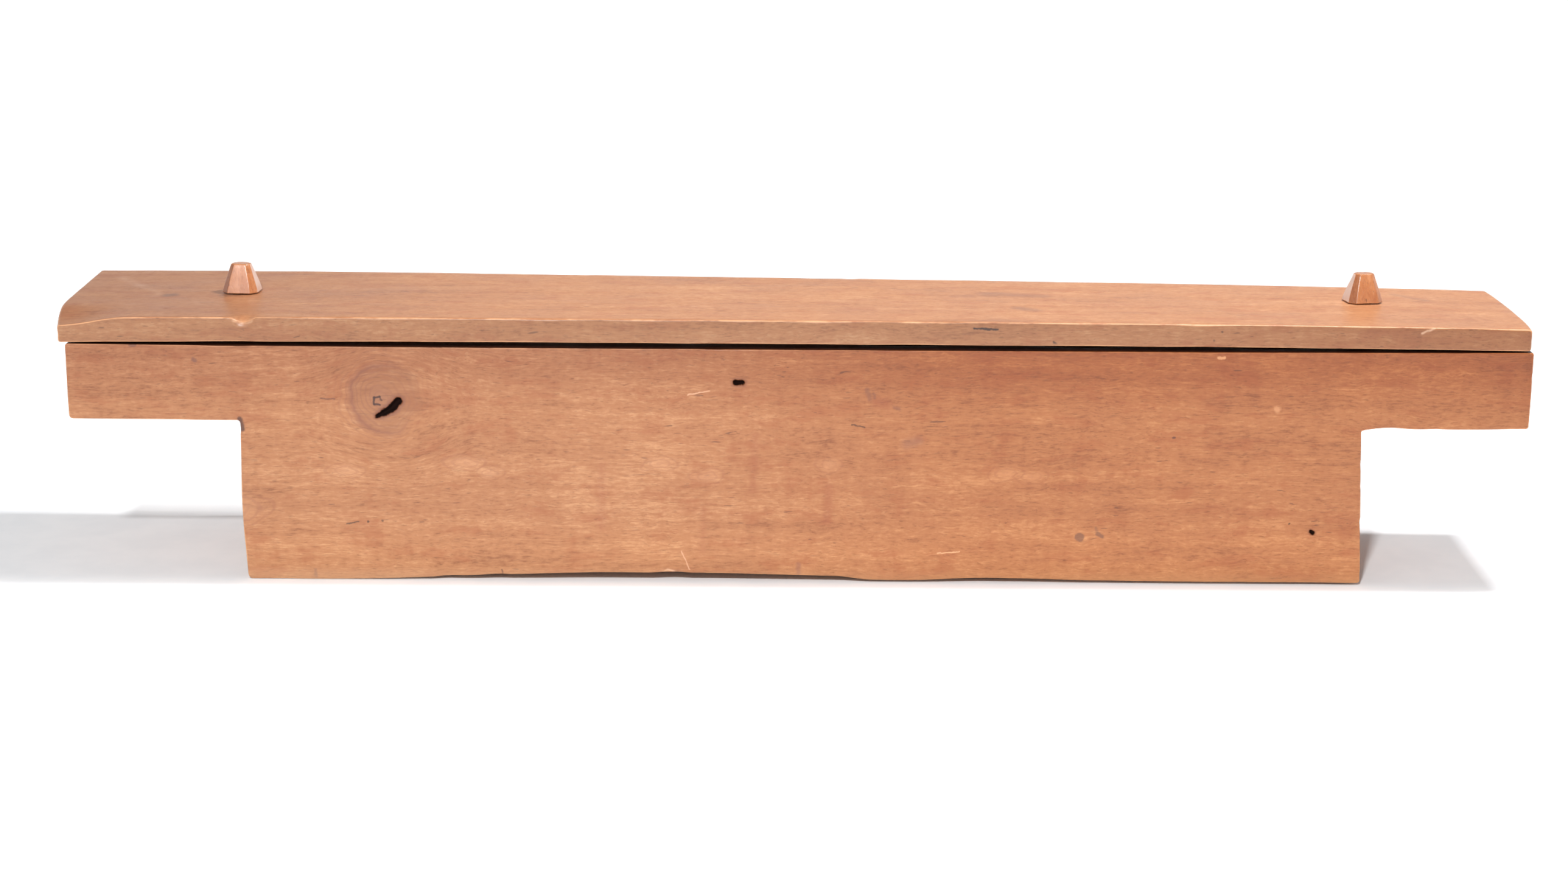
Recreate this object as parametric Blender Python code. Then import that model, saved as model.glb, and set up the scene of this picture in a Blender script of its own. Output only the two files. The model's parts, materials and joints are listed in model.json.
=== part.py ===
"""Lidded mancala board in metres, +Z up, with its origin on the floor under the middle of its box.

A hewn hardwood block with overhanging ends carries two rows of oval pits, and a store in each end.
A plank lid lies on it. Two faceted pegs pass through the lid into blind holes in the block, and
every pit holds its seeds.
"""

import math
import random

import bmesh
import bpy
from mathutils import Euler, Vector

# Whole object. X runs along the board, Y towards its rear.
HALF_LENGTH = 0.4541
HALF_DEPTH = 0.0719
GAP = 0.0003

# Block: a deep middle between two thin overhanging ends, and tapering in plan to the right.
BLOCK_LEFT = -0.4431
BLOCK_RIGHT = HALF_LENGTH
BLOCK_FRONT = -0.0714
BLOCK_REAR_LEFT = 0.0700
BLOCK_REAR_RIGHT = 0.0430
BLOCK_TOP = 0.1503
BLOCK_TOP_HOLLOW = 0.0011
LEFT_STEP_TOP = -0.3384
LEFT_STEP_FLOOR = -0.3370
RIGHT_STEP_TOP = 0.3514
RIGHT_STEP_FLOOR = 0.3562
LEFT_OVERHANG = 0.1025
RIGHT_OVERHANG = 0.1006
LEFT_COVE = 0.0015
RIGHT_COVE = 0.0050
BLOCK_ARRIS = 0.0012
TOP_STATIONS = 12

# Hollow along the block's underside, between two flat feet.
ARCH_START = -0.300
ARCH_PEAK = -0.095
ARCH_END = 0.260
ARCH_RISE = 0.0055
ARCH_STATIONS = 14

# Pits and stores: half an ellipsoid each, centred on the block's top.
PITS_PER_ROW = 6
PIT_FIRST = -0.280
PIT_PITCH = 0.115
PIT_HALF_LENGTH = 0.047
PIT_HALF_WIDTH = 0.022
PIT_DEPTH = 0.028
PIT_ROW_OFFSET = 0.027
PIT_SIDES = 24
PIT_RINGS = 12
BOWL_CENTRE_HEIGHT = 0.1495
LEFT_STORE_X = -0.3975
RIGHT_STORE_X = 0.4090
STORE_HALF_LENGTH = 0.0335
LEFT_STORE_HALF_WIDTH = 0.049
RIGHT_STORE_HALF_WIDTH = 0.042
STORE_DEPTH = 0.031
STORE_SIDES = 28

# Lid: a plank with a flat underside and a slightly crowned top, thicker and deeper at its left
# end. Each end is a list of (x, y) corners from front to rear.
LID_LEFT_END = [(-0.4468, -HALF_DEPTH), (-0.4515, -0.0450), (-0.4539, -0.0130), (-HALF_LENGTH, HALF_DEPTH)]
LID_RIGHT_END = [(0.4521, -HALF_DEPTH), (0.4537, -0.0440), (0.4534, -0.0090), (0.4509, 0.0430)]
LID_UNDERSIDE = BLOCK_TOP + GAP
LID_CROWN = 0.0018
LID_THICKNESS_LEFT = 0.0157
LID_THICKNESS_RIGHT = 0.0141
LID_ARRIS = 0.0018
LID_STATIONS = 12

# Pegs: an eight-sided shank under a head shaped as a cut-off pyramid with chamfered corners, a
# little wider than deep.
LEFT_PEG_PLACE = (-0.3474, 0.0030)
RIGHT_PEG_PLACE = (0.3618, 0.0008)
LEFT_PEG_TURN = math.radians(-4.5)
RIGHT_PEG_TURN = math.radians(10.0)
HEAD_BASE_HALF_SIZE = (0.0122, 0.0102)
HEAD_BASE_CHAMFER = 0.0042
HEAD_TOP_HALF_SIZE = (0.0058, 0.0044)
HEAD_TOP_CHAMFER = 0.0026
HEAD_HEIGHT = 0.0183
HEAD_ARRIS = 0.0005
SHANK_HALF = 0.0058
SHANK_TIP_HALF = 0.0044
SHANK_TIP_LENGTH = 0.003
SHANK_DEPTH_IN_BLOCK = 0.030
PEG_HOLE_RADIUS = 0.0068
PEG_HOLE_DEPTH = 0.033
PEG_HOLE_SIDES = 24

# Seeds: rounded nuts, lying in each pit two by two.
SEEDS_PER_PIT = 4
SEED_HALF_SIZE = (0.0070, 0.0062, 0.0056)
SEED_SPACING_X = 0.0158
SEED_SPACING_Y = 0.0146
SEED_STRAY = 0.0003
SEED_PATTERN_TURN = math.radians(6.0)
SEED_GAP = 0.0008
RANDOM_SEED = 11

WOOD_COLOUR = (0.42, 0.185, 0.075)
LID_COLOUR = (0.45, 0.21, 0.10)
PEG_COLOUR = (0.44, 0.15, 0.055)
SEED_COLOUR = (0.33, 0.32, 0.27)


def clear_scene():
    for obj in list(bpy.data.objects):
        bpy.data.objects.remove(obj, do_unlink=True)


def make_material(name, colour, roughness):
    material = bpy.data.materials.new(name)
    material.use_nodes = True
    shader = material.node_tree.nodes["Principled BSDF"]
    shader.inputs["Base Color"].default_value = (*colour, 1.0)
    shader.inputs["Roughness"].default_value = roughness
    shader.inputs["Metallic"].default_value = 0.0
    return material


def add_object(name, bm, material=None):
    """Turn a bmesh into a named object at the origin, with its faces pointing out."""
    bmesh.ops.recalc_face_normals(bm, faces=bm.faces)
    mesh = bpy.data.meshes.new(name)
    bm.to_mesh(mesh)
    bm.free()
    obj = bpy.data.objects.new(name, mesh)
    bpy.context.scene.collection.objects.link(obj)
    if material:
        mesh.materials.append(material)
    return obj


def hide_cutter(cutter):
    cutter.hide_render = True
    cutter.display_type = "WIRE"


def add_bevel(obj, width, segments):
    bevel = obj.modifiers.new("arris", "BEVEL")
    bevel.width = width
    bevel.segments = segments
    bevel.limit_method = "ANGLE"
    bevel.angle_limit = math.radians(35.0)


def cut_with(obj, cutter):
    cut = obj.modifiers.new("cut", "BOOLEAN")
    cut.operation = "DIFFERENCE"
    cut.solver = "EXACT"
    cut.object = cutter


def between(start, end, share):
    return start + (end - start) * share


def along_length(x):
    """Share of the block's length at x, from 0 at its left end to 1 at its right."""
    return (x - BLOCK_LEFT) / (BLOCK_RIGHT - BLOCK_LEFT)


def block_rear(x):
    return between(BLOCK_REAR_LEFT, BLOCK_REAR_RIGHT, along_length(x))


def block_centre(x):
    return (BLOCK_FRONT + block_rear(x)) / 2


def block_top(x):
    """The top is planed a little hollow between the ends."""
    return BLOCK_TOP - BLOCK_TOP_HOLLOW * (1 - (x / HALF_LENGTH) ** 4)


def underside_height(x):
    """Height of the block's underside: 0 on the feet, and a low lopsided arch between them."""
    side = ARCH_START if x < ARCH_PEAK else ARCH_END
    share = (x - side) / (ARCH_PEAK - side)
    return ARCH_RISE * (1 - math.cos(math.pi * share)) / 2


def cove(centre_x, centre_z, radius, start_degrees, end_degrees, steps=4):
    """Points along a quarter circle, for an inner corner."""
    angles = [math.radians(between(start_degrees, end_degrees, n / steps)) for n in range(steps + 1)]
    return [(centre_x + radius * math.cos(a), centre_z + radius * math.sin(a)) for a in angles]


def block_outline():
    """The block's front face, anticlockwise from its left foot."""
    points = [(LEFT_STEP_FLOOR, 0.0)]
    for n in range(ARCH_STATIONS + 1):
        x = between(ARCH_START, ARCH_END, n / ARCH_STATIONS)
        points.append((x, underside_height(x)))
    points.append((RIGHT_STEP_FLOOR, 0.0))
    points += cove(RIGHT_STEP_TOP + RIGHT_COVE, RIGHT_OVERHANG - RIGHT_COVE, RIGHT_COVE, 180, 90)
    points += [(BLOCK_RIGHT, RIGHT_OVERHANG)]
    for n in range(TOP_STATIONS + 1):
        x = between(BLOCK_RIGHT, BLOCK_LEFT, n / TOP_STATIONS)
        points.append((x, block_top(x)))
    points += [(BLOCK_LEFT, LEFT_OVERHANG)]
    points += cove(LEFT_STEP_TOP - LEFT_COVE, LEFT_OVERHANG - LEFT_COVE, LEFT_COVE, 90, 0)
    return points


def add_bowl(bm, x, y, half_length, half_width, depth, sides):
    """A whole ellipsoid, whose lower half is the hollow."""
    made = bmesh.ops.create_uvsphere(bm, u_segments=sides, v_segments=PIT_RINGS, radius=1.0)
    bmesh.ops.scale(bm, vec=(half_length, half_width, depth), verts=made["verts"])
    bmesh.ops.translate(bm, vec=(x, y, BOWL_CENTRE_HEIGHT), verts=made["verts"])


def add_drill(bm, place, bottom, top):
    """A round cutter from bottom to top, for a peg's hole."""
    made = bmesh.ops.create_cone(
        bm, cap_ends=True, segments=PEG_HOLE_SIDES, depth=top - bottom,
        radius1=PEG_HOLE_RADIUS, radius2=PEG_HOLE_RADIUS,
    )
    bmesh.ops.translate(bm, vec=(*place, (bottom + top) / 2), verts=made["verts"])


def pit_places():
    """Row name, pit number and centre of every pit."""
    for row, side in (("front", -1), ("rear", 1)):
        for n in range(PITS_PER_ROW):
            x = PIT_FIRST + n * PIT_PITCH
            yield row, n + 1, x, block_centre(x) + side * PIT_ROW_OFFSET


def make_hollows():
    """One cutter for all pits, both stores and both peg holes."""
    bm = bmesh.new()
    for _row, _number, x, y in pit_places():
        add_bowl(bm, x, y, PIT_HALF_LENGTH, PIT_HALF_WIDTH, PIT_DEPTH, PIT_SIDES)
    for x, half_width in ((LEFT_STORE_X, LEFT_STORE_HALF_WIDTH), (RIGHT_STORE_X, RIGHT_STORE_HALF_WIDTH)):
        add_bowl(bm, x, block_centre(x), STORE_HALF_LENGTH, half_width, STORE_DEPTH, STORE_SIDES)
    for place in (LEFT_PEG_PLACE, RIGHT_PEG_PLACE):
        add_drill(bm, place, BLOCK_TOP - PEG_HOLE_DEPTH, BLOCK_TOP + PEG_HOLE_DEPTH)
    cutter = add_object("hollow_cutter", bm)
    hide_cutter(cutter)
    return cutter


def make_board(material):
    bm = bmesh.new()
    front = bm.faces.new([bm.verts.new((x, BLOCK_FRONT, z)) for x, z in block_outline()])
    extruded = bmesh.ops.extrude_face_region(bm, geom=[front])
    for vert in (item for item in extruded["geom"] if isinstance(item, bmesh.types.BMVert)):
        vert.co.y = block_rear(vert.co.x)
    board = add_object("board", bm, material)
    add_bevel(board, BLOCK_ARRIS, 2)
    cut_with(board, make_hollows())
    return board


def lid_top(share):
    """Height of the lid's upper face at a share of its length."""
    crown = LID_CROWN * (1 - (2 * share - 1) ** 4)
    return LID_UNDERSIDE + crown + between(LID_THICKNESS_LEFT, LID_THICKNESS_RIGHT, share)


def lid_section(share):
    """The plank's section at a share of its length: its underside from front to rear, then its top back."""
    columns = []
    for left, right in zip(LID_LEFT_END, LID_RIGHT_END):
        columns.append((between(left[0], right[0], share), between(left[1], right[1], share)))
    top = [(x, y, lid_top(share)) for x, y in reversed(columns)]
    return [(x, y, LID_UNDERSIDE) for x, y in columns] + top


def bridge_rings(bm, rings):
    """Skin closed rings of equal length into one capped solid."""
    for lower, upper in zip(rings, rings[1:]):
        for n in range(len(lower)):
            m = (n + 1) % len(lower)
            bm.faces.new((lower[n], lower[m], upper[m], upper[n]))
    bm.faces.new(list(reversed(rings[0])))
    bm.faces.new(rings[-1])


def make_lid(material):
    """The plank, with its origin on its line of travel at the height of its underside."""
    bm = bmesh.new()
    drop = Vector((0.0, 0.0, -LID_UNDERSIDE))
    sections = [lid_section(n / LID_STATIONS) for n in range(LID_STATIONS + 1)]
    bridge_rings(bm, [[bm.verts.new(Vector(corner) + drop) for corner in section] for section in sections])
    lid = add_object("lid", bm, material)
    lid.location.z = LID_UNDERSIDE
    add_bevel(lid, LID_ARRIS, 3)
    drills = bmesh.new()
    for place in (LEFT_PEG_PLACE, RIGHT_PEG_PLACE):
        add_drill(drills, place, LID_UNDERSIDE - LID_THICKNESS_LEFT, LID_UNDERSIDE + 2 * LID_THICKNESS_LEFT)
    cutter = add_object("lid_drill", drills)
    hide_cutter(cutter)
    cut_with(lid, cutter)
    return lid


def eight_sides(bm, half_x, half_y, chamfer, height):
    """Eight vertices of a rectangle with its corners cut off, anticlockwise."""
    flat_x = half_x - chamfer
    flat_y = half_y - chamfer
    corners = [(flat_x, -half_y), (half_x, -flat_y), (half_x, flat_y), (flat_x, half_y)]
    corners += [(-x, -y) for x, y in corners]
    return [bm.verts.new((x, y, height)) for x, y in corners]


def octagon(bm, half, height):
    return eight_sides(bm, half, half, half * (2 - math.sqrt(2)), height)


def make_peg(name, lid, place, turn, material):
    """A peg with its origin on its own axis, where its head sits on the lid."""
    seat = lid_top((place[0] + HALF_LENGTH) / (2 * HALF_LENGTH)) + GAP
    shank_bottom = BLOCK_TOP - SHANK_DEPTH_IN_BLOCK - seat
    bm = bmesh.new()
    bridge_rings(bm, [
        octagon(bm, SHANK_TIP_HALF, shank_bottom),
        octagon(bm, SHANK_HALF, shank_bottom + SHANK_TIP_LENGTH),
        octagon(bm, SHANK_HALF, 0.0),
        eight_sides(bm, *HEAD_BASE_HALF_SIZE, HEAD_BASE_CHAMFER, 0.0),
        eight_sides(bm, *HEAD_TOP_HALF_SIZE, HEAD_TOP_CHAMFER, HEAD_HEIGHT),
    ])
    peg = add_object(name, bm, material)
    add_bevel(peg, HEAD_ARRIS, 1)
    peg.parent = lid
    peg.location = (*place, seat - lid.location.z)
    peg.rotation_euler.z = turn
    return peg


def pit_floor(x, y):
    """Depth of a pit's wall below its centre height, at an offset from its centre."""
    inside = 1 - (x / PIT_HALF_LENGTH) ** 2 - (y / PIT_HALF_WIDTH) ** 2
    return -PIT_DEPTH * math.sqrt(max(inside, 0.0))


def pit_tilt(x, y):
    """Turn that lays a seed against the pit's wall at an offset from its centre."""
    step = 0.001
    slope_x = (pit_floor(x + step, y) - pit_floor(x - step, y)) / (2 * step)
    slope_y = (pit_floor(x, y + step) - pit_floor(x, y - step)) / (2 * step)
    return Vector((0, 0, 1)).rotation_difference(Vector((-slope_x, -slope_y, 1)))


def make_seed(name, board, pit_centre, offset, turn, material):
    """One nut, set down in its pit until it all but touches the wall."""
    bm = bmesh.new()
    bmesh.ops.create_icosphere(bm, subdivisions=1, radius=1.0)
    bmesh.ops.scale(bm, vec=SEED_HALF_SIZE, verts=bm.verts)
    rotation = pit_tilt(*offset) @ Euler((0, 0, turn)).to_quaternion()
    clearances = []
    for vert in bm.verts:
        spot = rotation @ vert.co
        clearances.append(spot.z - pit_floor(offset[0] + spot.x, offset[1] + spot.y))
    seed = add_object(name, bm, material)
    seed.parent = board
    seed.rotation_euler = rotation.to_euler()
    height = BOWL_CENTRE_HEIGHT - min(clearances) + SEED_GAP
    seed.location = (pit_centre[0] + offset[0], pit_centre[1] + offset[1], height)
    return seed


def seed_offsets(stray):
    """Two rows of two seeds at the bottom of a pit, turned and strayed a little."""
    turn = stray.uniform(-SEED_PATTERN_TURN, SEED_PATTERN_TURN)
    for n in range(SEEDS_PER_PIT):
        x = (n % 2 - 0.5) * SEED_SPACING_X + stray.uniform(-SEED_STRAY, SEED_STRAY)
        y = (n // 2 - 0.5) * SEED_SPACING_Y + stray.uniform(-SEED_STRAY, SEED_STRAY)
        yield x * math.cos(turn) - y * math.sin(turn), x * math.sin(turn) + y * math.cos(turn)


def make_seeds(board, material):
    stray = random.Random(RANDOM_SEED)
    for row, pit, x, y in pit_places():
        for n, offset in enumerate(seed_offsets(stray)):
            turn = stray.uniform(0, 2 * math.pi)
            make_seed(f"seed_{row}_{pit}_{n + 1}", board, (x, y), offset, turn, material)


def main():
    clear_scene()
    board = make_board(make_material("board_wood", WOOD_COLOUR, 0.42))
    lid = make_lid(make_material("lid_wood", LID_COLOUR, 0.45))
    peg_wood = make_material("peg_wood", PEG_COLOUR, 0.32)
    make_peg("peg_left", lid, LEFT_PEG_PLACE, LEFT_PEG_TURN, peg_wood)
    make_peg("peg_right", lid, RIGHT_PEG_PLACE, RIGHT_PEG_TURN, peg_wood)
    make_seeds(board, make_material("seed", SEED_COLOUR, 0.30))


main()
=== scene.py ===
"""Looks of the lidded mancala board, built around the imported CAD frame, in metres and in its axes.

The block, the plank lid, both pegs and every seed are modelled again in fine mesh, at the CAD
nodes' own places, and get procedural materials. A white floor, studio lights and a camera follow.
"""

import json
import math

import bmesh
import bpy
import numpy as np
from mathutils import Matrix, Vector, noise
from mathutils.geometry import delaunay_2d_cdt
from mathutils.kdtree import KDTree


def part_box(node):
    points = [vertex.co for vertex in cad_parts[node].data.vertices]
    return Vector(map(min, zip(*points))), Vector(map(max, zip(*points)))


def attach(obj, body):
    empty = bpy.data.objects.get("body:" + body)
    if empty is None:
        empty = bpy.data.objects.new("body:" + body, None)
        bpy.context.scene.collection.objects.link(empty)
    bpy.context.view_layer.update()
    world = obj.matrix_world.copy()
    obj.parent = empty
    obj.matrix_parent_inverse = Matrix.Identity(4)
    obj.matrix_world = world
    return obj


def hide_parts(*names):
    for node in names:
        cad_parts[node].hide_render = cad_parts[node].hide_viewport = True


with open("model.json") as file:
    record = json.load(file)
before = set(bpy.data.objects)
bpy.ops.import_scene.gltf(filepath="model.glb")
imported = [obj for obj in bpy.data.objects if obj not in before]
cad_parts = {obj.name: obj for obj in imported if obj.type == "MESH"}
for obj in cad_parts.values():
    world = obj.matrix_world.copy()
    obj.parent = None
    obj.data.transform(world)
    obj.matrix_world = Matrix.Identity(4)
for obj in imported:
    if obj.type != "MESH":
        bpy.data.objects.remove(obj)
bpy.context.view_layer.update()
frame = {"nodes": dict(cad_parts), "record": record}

OPENINGS = {opening["name"]: opening["box_m"] for opening in frame["record"]["physics"]["openings"]}

# Block. Its box comes from the frame; the steps between its deep middle and its thin ends are
# the CAD's own.
BLOCK_LOW, BLOCK_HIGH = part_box("board")
BLOCK_REAR_RIGHT = 0.0430
LEFT_STEP_TOP = -0.3384
LEFT_STEP_FLOOR = -0.3370
RIGHT_STEP_TOP = 0.3514
RIGHT_STEP_FLOOR = 0.3562
LEFT_OVERHANG = 0.1025
RIGHT_OVERHANG = 0.1006
TOP_HOLLOW = 0.0011
ARCH_START = -0.300
ARCH_PEAK = -0.095
ARCH_END = 0.260
ARCH_RISE = 0.0055
ARCH_NUB = 0.0016
BLOCK_ARRIS = 0.0013

# Unevenness of the block: the outward bow of its left foot, the lift of its right foot's front
# edge, and the swellings under its right overhang (from, to and height).
FOOT_BOW = 0.0016
FOOT_LIFT = 0.0017
OVERHANG_SWELLINGS = [(0.350, 0.386, 0.0010), (0.335, 0.362, -0.0007)]
OVERHANG_TIP_LIFT = 0.0004

# Pits and stores.
PIT_HALF_SIZE = (0.047, 0.022, 0.028)
LEFT_STORE_HALF_SIZE = (0.0335, 0.049, 0.031)
RIGHT_STORE_HALF_SIZE = (0.0335, 0.042, 0.031)
BOWL_CENTRE_HEIGHT = 0.1495
BOWL_LIP = 0.0020
BOWL_SIDES = 72
BOWL_RINGS = 22

# Lid.
LID_LOW, LID_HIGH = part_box("lid")
LID_REAR_RIGHT = 0.0430
LID_BOW = 0.0018
LID_THICKNESS_LEFT = 0.0157
LID_THICKNESS_RIGHT = 0.0141
LID_ARRIS = 0.0017
LID_CORNER_WEAR = 0.0046

# The bite in the lid's top front arris: middle along X, half length, depth and how far back.
BITE_MIDDLE = -0.3334
BITE_HALF = 0.0072
BITE_DEPTH = 0.0030
BITE_BACK = 0.0016

# How deep the tool waves and the chips in the arrises are.
BLOCK_WEAR = (0.00035, 0.0011)
LID_WEAR = (0.00030, 0.0004)
HEAD_WEAR = 0.00055

# Pegs: half size and chamfer of the head at its base and at its top.
HEAD_BASE = (0.0116, 0.0100, 0.0042)
HEAD_TOP = (0.0064, 0.0048, 0.0026)
PEG_TURNS = {"peg_left": math.radians(-4.5), "peg_right": math.radians(10.0)}
HEAD_HEIGHT = 0.0183
SHANK_HALF = 0.0058
SHANK_TIP_HALF = 0.0044
SHANK_TIP_LENGTH = 0.003
SHANK_STEPS = 10
HEAD_STEPS = 9
PEG_HOLE_RADIUS = 0.0068
PEG_HOLE_DEPTH = 0.033
PEG_HOLE_LIP = 0.0007
PEG_HOLE_SIDES = 32

# Mesh density.
OUTLINE_SPACING = 0.0035
CAP_SPACING = 0.0048
WALL_ROWS = 26
ARC_STEPS = 5
ARRIS_STEPS = 4
SUPPORT = 0.012

# Camera: place, downward pitch, roll, focal length and sensor width in millimetres.
CAMERA_PLACE = (-0.0036, -1.7347, 0.5413)
CAMERA_PITCH = 0.264
CAMERA_ROLL = 0.0065
CAMERA_LENS = 64.29
CAMERA_SENSOR = 36.0


# -------- shape of the block and the lid


def between(start, end, share):
    return start + (end - start) * share


def ease(low, high, value):
    """0 below low, 1 above high, and a smooth rise between them."""
    share = min(max((value - low) / (high - low), 0.0), 1.0)
    return share * share * (3 - 2 * share)


def block_rear(x):
    share = (x - BLOCK_LOW.x) / (BLOCK_HIGH.x - BLOCK_LOW.x)
    return between(BLOCK_HIGH.y, BLOCK_REAR_RIGHT, share)


def block_top(x):
    return BLOCK_HIGH.z - TOP_HOLLOW * (1 - (x / BLOCK_HIGH.x) ** 4)


def arch(x):
    """Height of the hollow along the block's underside."""
    if not ARCH_START < x < ARCH_END:
        return 0.0
    side = ARCH_START if x < ARCH_PEAK else ARCH_END
    share = (x - side) / (ARCH_PEAK - side)
    hollow = ARCH_RISE * (1 - math.cos(math.pi * share)) / 2
    nub = ARCH_NUB * ease(0.030, 0.050, x) * (1 - ease(0.070, 0.130, x))
    return max(hollow - nub, 0.0)


def front_lift(x, y):
    """The right foot stands on its rear: its front edge clears the floor a little."""
    return FOOT_LIFT * ease(0.06, 0.13, x) * (1 - ease(-0.055, -0.030, y))


def mound(start, end, value):
    """A smooth hump from 0 at start to 1 halfway and back to 0 at end."""
    share = min(max((value - start) / (end - start), 0.0), 1.0)
    return math.sin(math.pi * share) ** 2


def shape_block(spot):
    """Gives a point of the straight-edged block the bows of its top, underside and left step, and
    the uneven underside of its right overhang."""
    x, y, z = spot
    near_step = ease(-0.345, -0.340, x) * (1 - ease(-0.330, -0.290, x))
    bowed_out = FOOT_BOW * mound(-0.015, 0.100, z) * near_step
    if x > RIGHT_STEP_TOP + 0.0006 and z > RIGHT_OVERHANG - 0.01:
        hump = sum(height * mound(start, end, x) for start, end, height in OVERHANG_SWELLINGS)
        hump += OVERHANG_TIP_LIFT * ease(0.42, 0.45, x)
        z += hump * (1 - ease(RIGHT_OVERHANG, RIGHT_OVERHANG + 0.025, z))
    low = arch(x) + front_lift(x, y)
    return Vector((x - bowed_out, y, between(low, block_top(x), z / BLOCK_HIGH.z)))


def lid_rear(x):
    return between(LID_HIGH.y, LID_REAR_RIGHT, (x - LID_LOW.x) / (LID_HIGH.x - LID_LOW.x))


def lid_bow(x):
    return LID_BOW * (1 - (x / LID_LOW.x) ** 4)


def lid_thickness(x):
    share = (x - LID_LOW.x) / (LID_HIGH.x - LID_LOW.x)
    return between(LID_THICKNESS_LEFT, LID_THICKNESS_RIGHT, share)


def lid_end_pull(x, y):
    """How far the rounded corners of the lid's ends draw a point in along X."""
    at_left = 1 - ease(LID_LOW.x, LID_LOW.x + 0.05, x)
    at_right = ease(LID_HIGH.x - 0.05, LID_HIGH.x, x)
    left = 0.0073 * (max(-0.013 - y, 0.0) / 0.0589) ** 1.9
    right = 0.0018 * (max(-0.044 - y, 0.0) / 0.0279) ** 2 + 0.0028 * (max(y + 0.02, 0.0) / 0.063) ** 2
    return left * at_left - right * at_right


def shape_lid(spot):
    """Bows the straight plank, rounds its ends in plan and wears its left front corner down."""
    x, y, z = spot
    share = (z - LID_LOW.z) / lid_thickness(x)
    worn = LID_CORNER_WEAR * (1 - ease(-0.455, -0.402, x)) * (1 - ease(LID_LOW.y, -0.030, y)) * share
    return Vector((x + lid_end_pull(x, y), y, z + lid_bow(x) - worn))


# -------- mesh tools


def towards(here, there, distance):
    return here + (there - here).normalized() * distance


def arc(start, corner, end, shares):
    """Points of the smooth curve from start to end that rounds off a corner."""
    return [start * (1 - k) ** 2 + corner * 2 * k * (1 - k) + end * k ** 2 for k in shares]


def rounded(corners, spacing):
    """Closed outline through corners (x, z, radius). Returns its points and, for each corner, the
    numbers of the points where the straight side after it starts and ends."""
    points = []
    sides = []
    first = 0
    for n, (x, z, radius) in enumerate(corners):
        here = Vector((x, z))
        before = Vector(corners[n - 1][:2])
        after = Vector(corners[(n + 1) % len(corners)][:2])
        start = towards(here, before, radius)
        if points:
            straight(points, start, spacing)
            sides.append((first, len(points)))
        shares = [k / ARC_STEPS for k in range(ARC_STEPS + 1)]
        points += arc(start, here, towards(here, after, radius), shares)
        first = len(points) - 1
    straight(points, points[0], spacing)
    return points, sides


def straight(points, end, spacing):
    """Adds points from the last one to end, both left out."""
    start = points[-1]
    steps = max(math.ceil((end - start).length / spacing), 1)
    for n in range(1, steps):
        points.append(start.lerp(end, n / steps))


def outward_normals(points):
    normals = []
    for n in range(len(points)):
        along = points[(n + 1) % len(points)] - points[n - 1]
        normals.append(Vector((along.y, -along.x)).normalized())
    return normals


def inside(points, loops):
    """Which points lie within an odd number of the closed loops."""
    odd = np.zeros(len(points), bool)
    for loop in loops:
        for (x1, y1), (x2, y2) in zip(loop, np.roll(loop, -1, 0)):
            crosses = (y1 > points[:, 1]) != (y2 > points[:, 1])
            run = (points[:, 1] - y1) * (x2 - x1) / ((y2 - y1) or 1.0)
            odd ^= crosses & (points[:, 0] < x1 + run)
    return odd


def scatter(low, high, spacing, stray):
    """A staggered grid of points with a little stray."""
    columns = np.arange(low[0], high[0], spacing)
    rows = np.arange(low[1], high[1], spacing * 0.87)
    x, y = np.meshgrid(columns, rows)
    x[1::2] += spacing / 2
    points = np.column_stack((x.ravel(), y.ravel()))
    return points + stray.uniform(-0.12, 0.12, points.shape) * spacing


def inner_points(polygons, spacing, fine):
    """Scattered points inside the first polygon, clear of its edge and of the holes in it."""
    flat_edges = np.concatenate(polygons)
    tree = KDTree(len(flat_edges))
    for n, (u, v) in enumerate(flat_edges):
        tree.insert((u, v, 0.0), n)
    tree.balance()
    stray = np.random.default_rng(len(flat_edges))
    low, high = polygons[0].min(0), polygons[0].max(0)
    inner = [(u, v, spacing) for u, v in scatter(low, high, spacing, stray)
             if all(math.hypot(u - disc[0], v - disc[1]) > disc[2] for disc in fine)]
    for disc_u, disc_v, radius, close in fine:
        corner = np.array((disc_u, disc_v))
        inner += [(u, v, close) for u, v in scatter(corner - radius, corner + radius, close, stray)
                  if math.hypot(u - disc_u, v - disc_v) <= radius]
    clear = np.array([(u, v) for u, v, gap in inner if tree.find((u, v, 0.0))[2] > 0.55 * gap])
    return clear[inside(clear, polygons)]


def fill(bm, loops, flatten, lift, spacing, fine=()):
    """Skins the area between an outer loop of vertices and the holes in it. flatten takes a place
    to two coordinates and lift takes them back. Each of fine is a denser disc: u, v, radius, spacing."""
    edges = [vert for loop in loops for vert in loop]
    polygons = [np.array([flatten(vert.co) for vert in loop]) for loop in loops]
    clear = inner_points(polygons, spacing, fine)
    links = []
    start = 0
    for loop in loops:
        count = len(loop)
        links += [(start + n, start + (n + 1) % count) for n in range(count)]
        start += count
    coordinates = [Vector(place) for place in np.concatenate((*polygons, clear))]
    made = delaunay_2d_cdt(coordinates, links, [], 0, 1e-8)
    verts = []
    for place, origins in zip(made[0], made[3]):
        old = min(origins) if origins else len(edges)
        verts.append(edges[old] if old < len(edges) else bm.verts.new(lift(*place)))
    centres = np.array([np.mean([made[0][n] for n in face], 0) for face in made[2]])
    for face, keep in zip(made[2], inside(centres, polygons)):
        corners = [verts[n] for n in face]
        if keep and len(set(corners)) == 3 and not bm.faces.get(corners):
            bm.faces.new(corners)


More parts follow.
